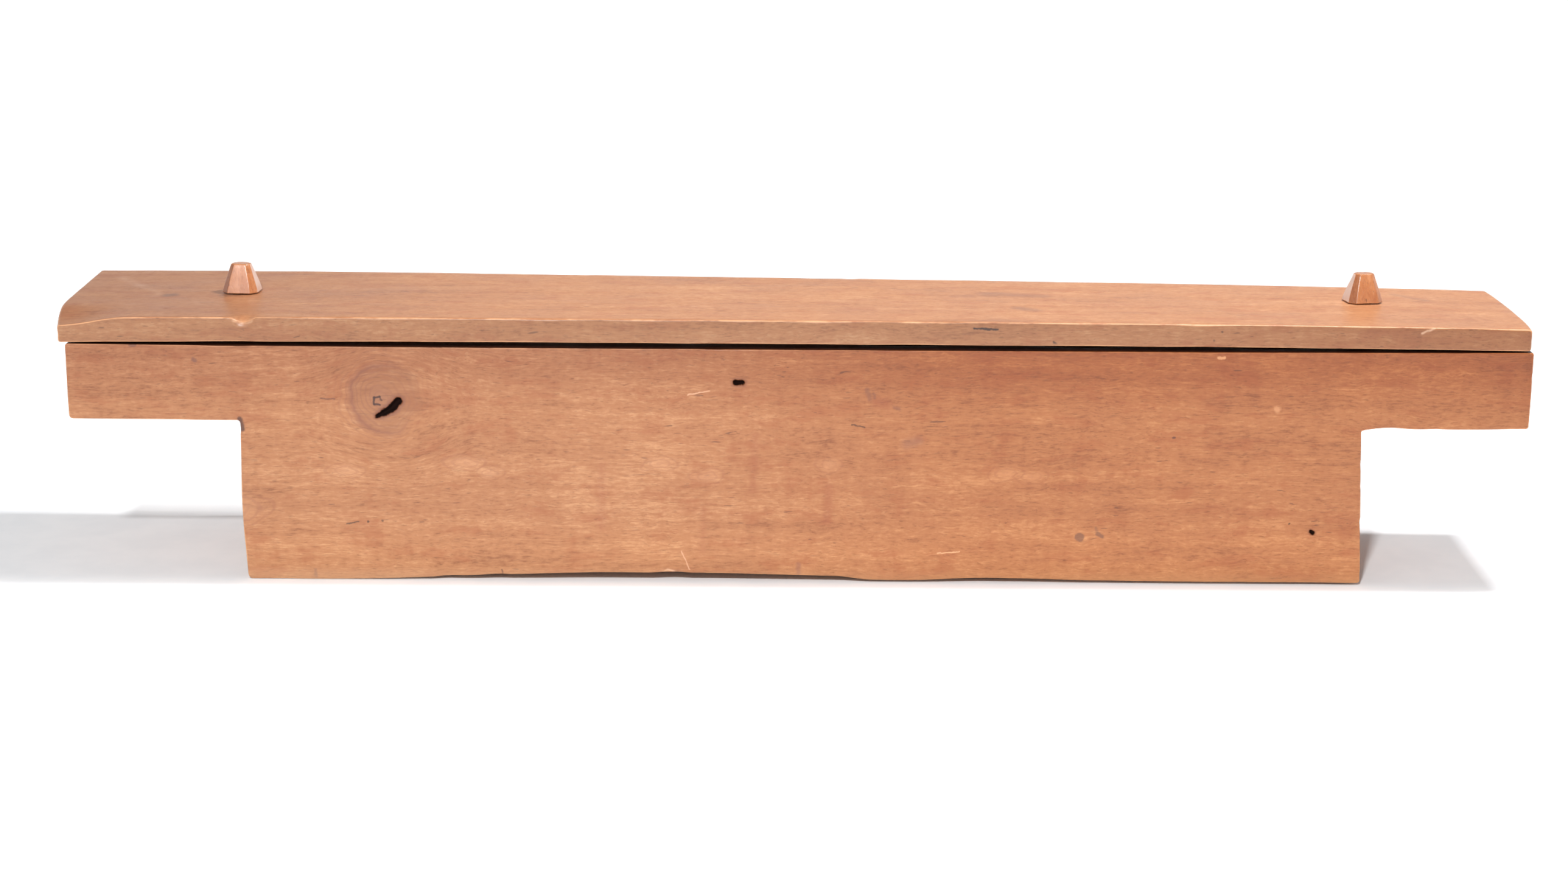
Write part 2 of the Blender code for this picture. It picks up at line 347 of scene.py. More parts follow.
def bridge(bm, lower, upper):
    """Quads between two closed loops of equal length."""
    for n in range(len(lower)):
        m = (n + 1) % len(lower)
        bm.faces.new((lower[n], lower[m], upper[m], upper[n]))


def close_with_point(bm, loop):
    centre = sum((vert.co for vert in loop), Vector()) / len(loop)
    tip = bm.verts.new(centre)
    for n in range(len(loop)):
        bm.faces.new((loop[n], loop[(n + 1) % len(loop)], tip))


def sweep(bm, points, front, rear, arris, open_sides):
    """Sweeps an outline in X and Z from the plane y = front to y = rear(x), with worn arrises
    around both ends and without the walls of its open sides. Returns the two end loops and, for
    each open side, the loop around it."""
    normals = outward_normals(points)
    edge = bm.verts.layers.float.new("edge")
    wear = [arris * (0.75 + 0.5 * noise.noise(Vector((x * 30, 3.1, z * 30)))) for x, z in points]
    angles = [math.pi / 2 * n / ARRIS_STEPS for n in range(ARRIS_STEPS + 1)]
    shares = [SUPPORT] + [n / WALL_ROWS for n in range(1, WALL_ROWS)] + [1 - SUPPORT]
    hidden = set()
    for start, end in open_sides:
        hidden.update(range(start + 1, end))

    def ring(angle, share, skip=()):
        """The ring that is share of the way to the rear and angle into the arris there."""
        made = []
        for n, (point, normal, radius) in enumerate(zip(points, normals, wear)):
            flat = point - normal * radius * (1 - math.sin(angle))
            into = radius * (1 - math.cos(angle))
            y = between(front + into, rear(flat.x) - into, share)
            made.append(None if n in skip else bm.verts.new((flat.x, y, flat.y)))
        return made

    rings = [ring(angle, 0.0) for angle in angles]
    rings += [ring(math.pi / 2, share, hidden) for share in shares]
    rings += [ring(angle, 1.0) for angle in reversed(angles)]
    for worn in rings[:ARRIS_STEPS + 1] + rings[-ARRIS_STEPS - 1:]:
        for vert in worn:
            vert[edge] = 1.0
    walls = range(ARRIS_STEPS, ARRIS_STEPS + len(shares) + 1)
    skin_rings(bm, rings, walls, hidden)
    return rings[0], rings[-1], [loop_around(rings, walls, *side) for side in open_sides]


def skin_rings(bm, rings, walls, hidden):
    """Quads between neighbouring rings, but none at the walls' hidden points."""
    count = len(rings[0])
    for k, (lower, upper) in enumerate(zip(rings, rings[1:])):
        for n in range(count):
            m = (n + 1) % count
            corners = (lower[n], lower[m], upper[m], upper[n])
            if None not in corners and not (k in walls and (n in hidden or m in hidden)):
                bm.faces.new(corners)


def loop_around(rings, walls, start, end):
    """The loop around an open side, which runs from point start to point end of the rings."""
    rows = rings[walls[0] + 1:walls[-1] + 1]
    loop = rings[walls[0]][start:end + 1]
    loop += [row[end] for row in rows]
    loop += reversed(rings[walls[-1] + 1][start:end + 1])
    return loop + [row[start] for row in reversed(rows)]


def skin_sides(bm, loops, front, rear, spacing, fine=()):
    """Skins the front and the rear end of a swept outline."""

    def flatten(co):
        return (co.x, co.z)

    fill(bm, [loops[0]], flatten, lambda u, v: (u, front, v), spacing, fine)
    fill(bm, [loops[1]], flatten, lambda u, v: (u, rear(u), v), spacing)


def skin_level(bm, rims, height):
    """Skins a face that looks up or down, around the rims in it."""
    fill(bm, rims, lambda co: (co.x, co.y), lambda u, v: (u, v, height(u)), CAP_SPACING)


def ellipse(bm, centre, half_x, half_y, z, sides):
    angles = [2 * math.pi * n / sides for n in range(sides)]
    return [
        bm.verts.new((centre[0] + half_x * math.cos(a), centre[1] + half_y * math.sin(a), z))
        for a in angles
    ]


def bowl(bm, centre, half_size, top):
    """A hollow with a rounded lip and a slightly flattened floor. Returns its rim."""
    half_x, half_y, depth = half_size
    rim = previous = None
    for n in range(ARRIS_STEPS + 1):
        angle = math.pi / 2 * n / ARRIS_STEPS
        out = BOWL_LIP * (1 - math.sin(angle))
        down = BOWL_LIP * (1 - math.cos(angle))
        loop = ellipse(bm, centre, half_x + out, half_y + out, top - down, BOWL_SIDES)
        if previous:
            bridge(bm, previous, loop)
        rim = rim or loop
        previous = loop
    start = math.asin(min((BOWL_CENTRE_HEIGHT - top + BOWL_LIP) / depth, 1.0))
    for n in range(1, BOWL_RINGS):
        angle = between(start, math.pi / 2, n / BOWL_RINGS)
        share = math.cos(angle) / math.cos(start)
        height = BOWL_CENTRE_HEIGHT - depth * math.sin(angle)
        loop = ellipse(bm, centre, half_x * share, half_y * share, height, BOWL_SIDES)
        bridge(bm, previous, loop)
        previous = loop
    close_with_point(bm, previous)
    return rim


def hole(bm, centre, top, bottom):
    """A drilled hole from top towards bottom. Returns its rim and its last loop."""
    lip = PEG_HOLE_LIP if top > bottom else -PEG_HOLE_LIP
    steps = [(PEG_HOLE_LIP, top), (PEG_HOLE_LIP * 0.3, top - lip * 0.3), (0.0, top - lip), (0.0, bottom)]
    radii = [(PEG_HOLE_RADIUS + wider, z) for wider, z in steps]
    loops = [ellipse(bm, centre, radius, radius, z, PEG_HOLE_SIDES) for radius, z in radii]
    for lower, upper in zip(loops, loops[1:]):
        bridge(bm, lower, upper)
    return loops[0], loops[-1]


def add_object(name, data):
    made = bpy.data.objects.new(name, data)
    bpy.context.scene.collection.objects.link(made)
    return made


def finish_mesh(bm, name, material, body, node):
    """Turns a bmesh into a smooth piece that stands for its CAD node and rides on its body."""
    bmesh.ops.recalc_face_normals(bm, faces=bm.faces)
    for face in bm.faces:
        face.smooth = True
    mesh = bpy.data.meshes.new(name)
    bm.to_mesh(mesh)
    bm.free()
    mesh.materials.append(material)
    piece = add_object(name, mesh)
    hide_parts(node)
    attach(piece, body)
    return piece


def middle_of(name):
    low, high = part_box(name)
    return (low + high) / 2


def middle_of_opening(name):
    low, high = OPENINGS[name]
    return ((low[0] + high[0]) / 2, (low[1] + high[1]) / 2)


def swell(spot, scale, seed):
    """Smooth unevenness from 0 to 1, with scale in waves per metre along each axis."""
    x, y, z = spot
    place = Vector((x * scale[0] + seed, y * scale[1], z * scale[2]))
    return 0.5 + 0.5 * noise.noise(place)


def weather(bm, shape, wear, floor=None):
    """Shapes every vertex, then lowers it a little into the wood: broad tool waves everywhere and
    small chips along the arrises, which are smaller along the gap between block and lid."""
    hewn, chips = wear
    edge = bm.verts.layers.float["edge"]
    for vert in bm.verts:
        vert.co = shape(vert.co)
    bmesh.ops.recalc_face_normals(bm, faces=bm.faces)
    bm.normal_update()
    for vert in bm.verts:
        spot = vert.co.copy()
        depth = hewn * swell(spot, (14, 30, 30), 0.0)
        if vert[edge] > 0.5:
            calm = 0.3 if abs(spot.z - BLOCK_HIGH.z) < 0.004 else 1.0
            depth += calm * chips * ease(0.68, 0.90, swell(spot, (38, 90, 90), 3.0))
        else:
            depth += hewn * 0.25 * swell(spot, (70, 90, 90), 7.0)
        vert.co -= vert.normal * depth
        if floor is not None:
            vert.co.z = max(vert.co.z, floor)


# -------- the pieces


def make_board(material):
    """The block, with its pits, stores and peg holes."""
    low, high = BLOCK_LOW, BLOCK_HIGH
    corners = [
        (LEFT_STEP_FLOOR, 0.0, 0.0035),
        (RIGHT_STEP_FLOOR, 0.0, 0.0025),
        (RIGHT_STEP_TOP, RIGHT_OVERHANG, 0.0022),
        (high.x, RIGHT_OVERHANG, 0.0022),
        (high.x, high.z, 0.0022),
        (low.x, high.z, 0.0022),
        (low.x, LEFT_OVERHANG, 0.0030),
        (LEFT_STEP_TOP, LEFT_OVERHANG, 0.0016),
    ]
    points, sides = rounded(corners, OUTLINE_SPACING)
    bm = bmesh.new()
    front_loop, rear_loop, rims = sweep(bm, points, low.y, block_rear, BLOCK_ARRIS, [sides[4]])
    hollows = {name: PIT_HALF_SIZE for name in OPENINGS if name.startswith("pit")}
    hollows["store_left"] = LEFT_STORE_HALF_SIZE
    hollows["store_right"] = RIGHT_STORE_HALF_SIZE
    for name, half_size in hollows.items():
        rims.append(bowl(bm, middle_of_opening(name), half_size, high.z))
    for name in PEG_TURNS:
        rim, last = hole(bm, middle_of(name)[:2], high.z, high.z - PEG_HOLE_DEPTH)
        close_with_point(bm, last)
        rims.append(rim)
    skin_level(bm, rims, lambda x: high.z)
    skin_sides(bm, (front_loop, rear_loop), low.y, block_rear, CAP_SPACING, FRONT_FINE)
    weather(bm, shape_block, BLOCK_WEAR, floor=0.0)
    sink_marks(bm)
    return finish_mesh(bm, "hewn_block", material, "board", "board")


# Deep marks in the front: from, to (x and z), half width and depth.
DEEP_MARKS = [
    ((-0.2404, 0.1152), (-0.2443, 0.1106), 0.0020, 0.0030),
    ((-0.2443, 0.1106), (-0.2496, 0.1075), 0.0016, 0.0028),
    ((-0.2496, 0.1075), (-0.2534, 0.1055), 0.0012, 0.0022),
    ((-0.0335, 0.1282), (-0.0292, 0.1282), 0.0013, 0.0020),
    ((0.3236, 0.0353), (0.3250, 0.0343), 0.0009, 0.0012),
]
# Where the mesh of the front is finer for them: x, z, radius and spacing.
FRONT_FINE = [
    (-0.2465, 0.1105, 0.013, 0.0007),
    (-0.0314, 0.1282, 0.007, 0.0007),
    (0.3243, 0.0348, 0.004, 0.0006),
]


def distance_to_line(spot, start, end):
    along = end - start
    share = min(max((spot - start).dot(along) / along.length_squared, 0.0), 1.0)
    return (spot - start - along * share).length


def sink_marks(bm):
    """Presses the knot's slot and the other deep marks into the block's front."""
    for vert in bm.verts:
        if vert.co.y > BLOCK_LOW.y + 0.003:
            continue
        spot = Vector((vert.co.x, vert.co.z))
        sunk = 0.0
        for start, end, half, depth in DEEP_MARKS:
            away = distance_to_line(spot, Vector(start), Vector(end))
            sunk = max(sunk, depth * (1 - ease(half * 0.4, half * 1.25, away)))
        vert.co.y += sunk


def scoop_chip(bm):
    """Takes the bite out of the lid's top front arris, near its left peg."""
    for vert in bm.verts:
        x, y, z = vert.co
        along = (x - BITE_MIDDLE) / BITE_HALF
        near = 1 - ease(LID_LOW.y + 0.001, LID_LOW.y + 0.008, y)
        if abs(along) < 1 and near > 0 and z > LID_LOW.z + 0.007:
            bite = (1 - along * along) * near * ease(LID_LOW.z + 0.010, LID_LOW.z + 0.0165, z)
            vert.co.z -= BITE_DEPTH * bite
            vert.co.y += BITE_BACK * bite


def make_lid(material):
    """The plank, with a drilled hole for each peg."""
    low, high = LID_LOW, LID_HIGH
    corners = [
        (low.x, low.z, 0.0022),
        (high.x, low.z, 0.0022),
        (high.x, low.z + LID_THICKNESS_RIGHT, 0.0028),
        (low.x, low.z + LID_THICKNESS_LEFT, 0.0028),
    ]
    points, sides = rounded(corners, OUTLINE_SPACING * 0.6)
    open_sides = [sides[0], sides[2]]
    bm = bmesh.new()
    front_loop, rear_loop, open_loops = sweep(bm, points, low.y, lid_rear, LID_ARRIS, open_sides)
    bottom_rims, top_rims = [[loop] for loop in open_loops]
    for name in PEG_TURNS:
        centre = middle_of(name)
        high_z = low.z + lid_thickness(centre.x)
        waist = (high_z + low.z) / 2
        top_rim, upper = hole(bm, centre[:2], high_z, waist)
        bottom_rim, lower = hole(bm, centre[:2], low.z, waist)
        for above, below in zip(upper, lower):
            bmesh.ops.pointmerge(bm, verts=[above, below], merge_co=above.co)
        top_rims.append(top_rim)
        bottom_rims.append(bottom_rim)
    skin_level(bm, top_rims, lambda x: low.z + lid_thickness(x))
    skin_level(bm, bottom_rims, lambda x: low.z)
    skin_sides(bm, (front_loop, rear_loop), low.y, lid_rear, CAP_SPACING * 0.7)
    weather(bm, shape_lid, LID_WEAR)
    scoop_chip(bm)
    return finish_mesh(bm, "plank_lid", material, "lid", "lid")


# -------- pegs


def chamfered_ring(bm, half_x, half_y, chamfer, z, softness=0.0007):
    """A rectangle with its corners cut off and every edge a little worn, anticlockwise."""
    flat_x, flat_y = half_x - chamfer, half_y - chamfer
    corners = [(flat_x, -half_y), (half_x, -flat_y), (half_x, flat_y), (flat_x, half_y)]
    corners += [(-x, -y) for x, y in corners]
    ring = []
    for n, corner in enumerate(corners):
        here = Vector(corner)
        following = Vector(corners[(n + 1) % 8])
        before = here.lerp(Vector(corners[n - 1]), 0.5)
        after = here.lerp(following, 0.5)
        start = towards(here, before, min(softness, (before - here).length * 0.9))
        end = towards(here, after, min(softness, (after - here).length * 0.9))
        spots = arc(start, here, end, (0.0, 0.33, 0.67, 1.0))
        spots += [end.lerp(after, 0.35), end.lerp(after, 0.75), after, after.lerp(following, 0.3)]
        ring += [bm.verts.new((spot.x, spot.y, z)) for spot in spots]
    return ring


def shank_rings(bm, tip, seat):
    """An eight-sided shank from its tip up to the head's seat."""
    octagon_chamfer = 2 - math.sqrt(2)
    tip_end = tip + SHANK_TIP_LENGTH
    sizes = [(SHANK_TIP_HALF * 0.8, tip), (SHANK_TIP_HALF, tip + 0.0006), (SHANK_HALF, tip_end)]
    sizes += [(SHANK_HALF, between(tip_end, seat, n / SHANK_STEPS)) for n in range(1, SHANK_STEPS)]
    sizes.append((SHANK_HALF, seat + 0.0003))
    return [chamfered_ring(bm, half, half, half * octagon_chamfer, z) for half, z in sizes]


def head_rings(bm, seat, top):
    """A chamfered, cut-off pyramid, slightly swollen, from its seat to its top."""
    rings = []
    for share, rise in ((0.70, 0.0), (0.95, 0.0), (0.985, 0.0001), (1.0, 0.0004), (0.985, 0.0009)):
        size = [value * share for value in HEAD_BASE]
        rings.append(chamfered_ring(bm, *size, seat + rise))
    for n in range(1, HEAD_STEPS + 1):
        share = n / HEAD_STEPS
        swelling = 1 + 0.020 * math.sin(math.pi * share)
        half_x, half_y, chamfer = (between(*ends, share) for ends in zip(HEAD_BASE, HEAD_TOP))
        z = seat + between(0.0009, HEAD_HEIGHT - 0.0008, share)
        rings.append(chamfered_ring(bm, half_x * swelling, half_y * swelling, chamfer, z))
    for share, drop in ((0.93, 0.0003), (0.80, 0.0), (0.45, 0.0)):
        size = [value * share for value in HEAD_TOP]
        rings.append(chamfered_ring(bm, *size, top - drop, 0.0005 * share))
    return rings


def make_peg(name, material):
    """A whittled peg, turned the way it sits in the lid."""
    low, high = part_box(name)
    middle = middle_of(name)
    seat = high.z - HEAD_HEIGHT
    bm = bmesh.new()
    rings = shank_rings(bm, low.z, seat) + head_rings(bm, seat, high.z)
    for lower, upper in zip(rings, rings[1:]):
        bridge(bm, lower, upper)
    close_with_point(bm, rings[0])
    close_with_point(bm, rings[-1])
    turn = Matrix.Rotation(PEG_TURNS[name], 3, "Z")
    for vert in bm.verts:
        spot = turn @ Vector((vert.co.x, vert.co.y, 0))
        vert.co.x = middle.x + spot.x
        vert.co.y = middle.y + spot.y
    bm.normal_update()
    for vert in bm.verts:
        if vert.co.z > seat:
            vert.co -= vert.normal * HEAD_WEAR * swell(vert.co, (140, 140, 110), 2.0)
    return finish_mesh(bm, name + "_whittled", material, name, name)


# -------- seeds


def make_seed(name, material):
    """A smooth grey nut in the CAD seed's own place, turned the way that seed lies."""
    node = frame["nodes"][name]
    places = np.array([vert.co for vert in node.data.vertices], float)
    centre = (places.max(0) + places.min(0)) / 2
    _u, _s, axes = np.linalg.svd(places - places.mean(0), full_matrices=False)
    sizes = np.abs((places - places.mean(0)) @ axes.T).max(0)
    bm = bmesh.new()
    bmesh.ops.create_icosphere(bm, subdivisions=3, radius=1.0)
    for vert in bm.verts:
        way = np.array(vert.co)
        wobble = 1 - 0.05 * swell(Vector(way) + Vector(centre) * 900, (1.3, 1.3, 1.3), 1.0)
        vert.co = Vector(centre + (way * sizes * wobble) @ axes)
    return finish_mesh(bm, name + "_nut", material, "board", name)


# -------- materials


class Paint:
    """The nodes of a material or a world while they are put together. Its place is a point in the
    row frame."""

    def __init__(self, owner, shader="Principled BSDF"):
        owner.use_nodes = True
        self.owner = owner
        self.tree = owner.node_tree
        self.shader = self.tree.nodes[shader]
        self.place = self.node("TexCoord", {}, "Object")
        self.normal = self.node("NewGeometry", {}, "Normal")

    def connect(self, node, key, value):
        """Gives an input another node's output or a fixed value."""
        if isinstance(value, bpy.types.NodeSocket):
            self.tree.links.new(value, node.inputs[key])
        else:
            node.inputs[key].default_value = value

    def node(self, kind, inputs, output=0, **settings):
        node = self.tree.nodes.new("ShaderNode" + kind)
        for key, value in settings.items():
            setattr(node, key, value)
        for key, value in inputs.items():
            self.connect(node, key, value)
        return node.outputs[output]

    def finish(self, **inputs):
        """Sets the shader's inputs, such as Base_Color. Returns the material or world."""
        for key, value in inputs.items():
            self.connect(self.shader, key.replace("_", " "), colour(value))
        return self.owner

    def math(self, operation, first, second=0.0):
        return self.node("Math", {0: first, 1: second}, operation=operation)

    def product(self, first, second):
        return self.math("MULTIPLY", first, second)

    def sum(self, *values):
        total = values[0]
        for value in values[1:]:
            total = self.math("ADD", total, value)
        return total

    def waves(self, distance, gap):
        return self.math("SINE", self.product(distance, 2 * math.pi / gap))

    def vector(self, operation, first, second, output=0):
        return self.node("VectorMath", {0: first, 1: second}, output, operation=operation)

    def scaled(self, place, factor):
        return self.node("VectorMath", {0: place, 3: factor}, operation="SCALE")

    def length(self, place):
        return self.node("VectorMath", {0: place}, 1, operation="LENGTH")

    def part(self, place, axis):
        return self.node("SeparateXYZ", {0: place}, axis)

    def normal_share(self, axis):
        """How much the surface faces along an axis, from 0 to 1."""
        return self.math("ABSOLUTE", self.part(self.normal, axis))

    def noise(self, place, scale, detail=3.0, roughness=0.6, shift=(0.0, 0.0, 0.0), output="Fac"):
        """Noise with scale in waves per metre along each axis."""
        stretched = self.node("Mapping", {"Vector": place, "Scale": scale, "Location": shift})
        inputs = {"Vector": stretched, "Scale": 1.0, "Detail": detail, "Roughness": roughness}
        return self.node("TexNoise", inputs, output)

    def warp(self, place, scale, amount, shift=(0.0, 0.0, 0.0)):
        """Moves place about by noise, by up to amount along each axis."""
        stir = self.noise(place, scale, 2.0, 0.5, shift, "Color")
        stir = self.vector("SUBTRACT", stir, (0.5, 0.5, 0.5))
        return self.vector("ADD", place, self.vector("MULTIPLY", stir, amount))

    def band(self, value, low, high):
        """0 below low, 1 above high, smooth between. low may be the larger one."""
        inputs = {"Value": value, "From Min": low, "From Max": high}
        return self.node("MapRange", inputs, interpolation_type="SMOOTHSTEP")

    def spread(self, value, low, high):
        """Takes noise between 0.25 and 0.75 to the range from low to high."""
        inputs = {"Value": value, "From Min": 0.25, "From Max": 0.75, "To Min": low, "To Max": high}
        return self.node("MapRange", inputs)

    def mix(self, factor, first, second, blend="MIX"):
        inputs = {0: factor, 6: colour(first), 7: colour(second)}
        return self.node("Mix", inputs, 2, data_type="RGBA", blend_type=blend)

    def lay(self, base, mask, strength, tint):
        """Lays tint over base where mask is, at up to strength."""
        return self.mix(self.product(mask, strength), base, tint)

    def shade(self, base, mask, tint):
        """Multiplies base by tint where mask is."""
        return self.mix(mask, base, tint, "MULTIPLY")

    def mark(self, base, start, end, half, soft, tint, strength, place):
        """Tints base along a line from start to end, half wide on each side with soft edges."""
        along = Vector(end) - Vector(start) + Vector((1e-6, 0, 0))
        away = self.vector("SUBTRACT", place, start)
        share = self.vector("DOT_PRODUCT", away, along / along.length_squared, 1)
        nearest = self.scaled(along, self.node("Clamp", {"Value": share}))
        distance = self.vector("DISTANCE", away, nearest, 1)
        reach = {"From Min": half - soft / 2, "From Max": half + soft / 2}
        inputs = {"Value": distance, **reach, "To Min": strength, "To Max": 0.0}
        return self.mix(self.node("MapRange", inputs, interpolation_type="SMOOTHSTEP"), base, tint)


def colour(value):
    return (*value, 1.0) if isinstance(value, tuple) and len(value) == 3 else value


def times(tint, factor):
    return tuple(min(part * factor, 1.0) for part in tint)


def grain_place(paint, shift, knot):
    """The paint's place, stirred so that the fibres wander, curl in patches and part at a knot."""
    place = paint.warp(paint.place, (5, 14, 14), (0.02, 0.010, 0.010), shift)
    curl = paint.band(paint.noise(paint.place, (9, 16, 16), 1.0, 0.5, shift), 0.32, 0.60)
    curly = paint.warp(place, (60, 110, 110), (0.005, 0.005, 0.005), shift)
    place = paint.node("Mix", {0: curl, 4: place, 5: curly}, 1, data_type="VECTOR")
    if knot:
        away = paint.vector("SUBTRACT", paint.place, knot)
        push = paint.product(paint.band(paint.length(away), 0.060, 0.010), -0.55)
        place = paint.vector("ADD", place, paint.scaled(away, push))
    return place


def worn_and_highlit_arrises(paint, shift):
    """1 on the arrises, where handling has rubbed the finish off in places and a painted highlight lies,
    and 0 elsewhere.
    """
    flattest = paint.math("MAXIMUM", paint.normal_share("X"), paint.normal_share("Y"))
    flattest = paint.math("MAXIMUM", flattest, paint.normal_share("Z"))
    marked = paint.node("Attribute", {}, "Fac", attribute_name="edge")
    patchy = paint.band(paint.noise(paint.place, (45, 60, 60), 3.0, 0.65, shift), 0.38, 0.55)
    return paint.product(paint.product(paint.band(flattest, 0.985, 0.90), marked), patchy)


def end_grain(paint, tone, dark, middle, shift):
    """Growth rings and fine pores on the faces that cut across the fibres."""
    across = paint.band(paint.normal_share("X"), 0.60, 0.90)
    place = paint.warp(paint.place, (20, 26, 26), (0.0, 0.008, 0.008), shift)
    place = paint.vector("MULTIPLY", paint.vector("ADD", place, (0.0, 0.012, 0.055)), (0.0, 1.0, 1.0))
    rings = paint.product(paint.band(paint.waves(paint.length(place), 0.0046), -0.4, 1.0), 0.45)
    uneven = paint.spread(paint.noise(place, (1.0, 330, 330), 3.0, 0.6, shift), -0.2, 0.3)
    cut = paint.mix(paint.sum(rings, uneven), times(middle, 0.80), times(dark, 0.62))
    pores = paint.band(paint.noise(paint.place, (300, 1500, 1500), 1.0, 0.5, shift), 0.60, 0.70)
    cut = paint.lay(cut, pores, 0.55, times(dark, 0.30))
    return paint.lay(tone, across, 0.85, cut)


def fine_lines(paint, tone, place, tones, pores, blotch, seed):
    """Dark pores, pale flecks and a few short cracks along the fibres."""
    dark, _middle, pale, _red = tones
    tone = paint.lay(tone, pores, 0.40, times(dark, 0.5))
    flecks = paint.band(paint.noise(place, (100, 1300, 1300), 2.0, 0.6, (9, 9, 9)), 0.57, 0.72)
    flecks = paint.product(flecks, paint.band(blotch, 0.36, 0.66))
    tone = paint.lay(tone, flecks, 0.28, times(pale, 1.20))
    cracks = paint.band(paint.noise(place, (90, 760, 760), 1.0, 0.5, (seed, 3, 7)), 0.715, 0.765)
    cracked = paint.noise(paint.place, (11, 18, 22), 2.0, 0.5, (seed + 9, 1, 2))
    cracks = paint.product(cracks, paint.band(cracked, 0.45, 0.60))
    return paint.lay(tone, cracks, 0.60, (0.085, 0.034, 0.024))


SHEEN = 0.42


def varnish(paint, fibre, streak, blotch, pores, rough, coat):
    """The shader's inputs for a satin finish over fine fibres."""
    gloss = paint.sum(paint.spread(streak, -0.05, 0.05), paint.spread(blotch, -0.07, 0.07), rough)
    relief = paint.sum(paint.product(fibre, 0.40), paint.product(streak, 0.55), paint.product(pores, -0.45))
    return {
        "Roughness": paint.sum(gloss, paint.product(pores, 0.12)),
        "Normal": paint.node("Bump", {"Height": relief, "Strength": 0.6, "Distance": 0.00026}),
        "Coat_Weight": coat,
        "Coat_Roughness": 0.28,
        "Specular_IOR_Level": SHEEN,
    }


def wood(name, tones, rough, coat, seed, knot=None, upright=False):
    """Fine, slightly wavy reddish hardwood that runs along X, or along Z if it is upright, in a
    dark, a middle and a pale tone and a red one for its stained patches. Returns the paint, its
    colour and its shader's other inputs."""
    dark, middle, pale, red = tones
    paint = Paint(bpy.data.materials.new(name))
    shift = (seed, seed * 0.7, seed * 1.3)
    if upright:
        turned = {to: paint.part(paint.place, axis) for to, axis in zip("XYZ", "ZXY")}
        paint.place = paint.node("CombineXYZ", turned)
    place = grain_place(paint, shift, knot)
    fibre = paint.noise(place, (120, 1150, 1150), 3.0, 0.62, shift)
    streak = paint.noise(place, (22, 330, 330), 4.0, 0.62, shift)
    layer = paint.noise(place, (5, 90, 90), 4.0, 0.62, shift)
    blotch = paint.noise(paint.place, (16, 24, 30), 4.0, 0.6, shift)
    figure = paint.noise(paint.place, (110, 60, 22), 3.0, 0.6, shift)
    mottle = paint.noise(place, (230, 420, 420), 3.0, 0.65, (seed + 2, 8, 5))
    swings = [(fibre, 0.20), (streak, 0.12), (layer, 0.16), (blotch, 0.11), (figure, 0.05), (mottle, 0.13)]
    value = paint.sum(*[paint.spread(part, -swing, swing) for part, swing in swings], 0.5)
    tone = paint.mix(paint.band(value, 0.10, 0.52), dark, middle)
    tone = paint.mix(paint.band(value, 0.48, 0.90), tone, pale)
    redness = paint.noise(place, (34, 120, 120), 5.0, 0.62, (seed + 4, 2, 6))
    redness = paint.band(paint.sum(redness, paint.spread(figure, 0.06, -0.06)), 0.50, 0.66)
    tone = paint.lay(tone, redness, 0.42, red)
    pores = paint.band(paint.noise(place, (190, 1700, 1700), 2.0, 0.6, (5, 5, 5)), 0.58, 0.72)
    tone = fine_lines(paint, tone, place, tones, pores, blotch, seed)
    if not upright:
        tone = end_grain(paint, tone, dark, middle, shift)
    # Paler arrises: worn wood with a painted highlight along them.
    tone = paint.lay(tone, worn_and_highlit_arrises(paint, shift), 0.65, times(pale, 1.30))
    return paint, tone, varnish(paint, fibre, streak, blotch, pores, rough, coat)


# Eyes in the grain of the block's front: middle (x and z), length over height, reach in z, spacing
# of their rings and strength.
EYES = [
    ((-0.3430, 0.0462), 2.2, 0.0150, 0.0031, 0.50),
    ((0.1326, 0.0708), 2.0, 0.0090, 0.0024, 0.44),
    ((0.1480, 0.0690), 2.2, 0.0070, 0.0021, 0.38),
    ((-0.2017, 0.0764), 2.4, 0.0090, 0.0024, 0.44),
    ((-0.1840, 0.0700), 2.0, 0.0070, 0.0021, 0.36),
    ((-0.0803, 0.0755), 2.4, 0.0080, 0.0021, 0.38),
    ((-0.0513, 0.0693), 2.6, 0.0070, 0.0020, 0.42),
    ((0.0230, 0.0760), 2.0, 0.0085, 0.0022, 0.36),
    ((-0.2740, 0.0700), 2.6, 0.0080, 0.0022, 0.36),
]
KNOT = (-0.2457, 0.1117)


def eye(paint, tone, place, middle, stretch, reach, gap, strength):
    """Thin dark rings, longer than high, around a middle on the block's front."""
    away = paint.vector("SUBTRACT", place, (middle[0], BLOCK_LOW.y, middle[1]))
    away = paint.length(paint.vector("MULTIPLY", away, (1 / stretch, 1.0, 1.0)))
    ring = paint.product(paint.band(away, reach, reach * 0.5), paint.band(paint.waves(away, gap), 0.1, 1.0))
    tone = paint.lay(tone, ring, strength, (0.25, 0.09, 0.045))
    return paint.lay(tone, paint.band(away, reach * 0.8, 0.0), 0.30, (0.60, 0.32, 0.17))


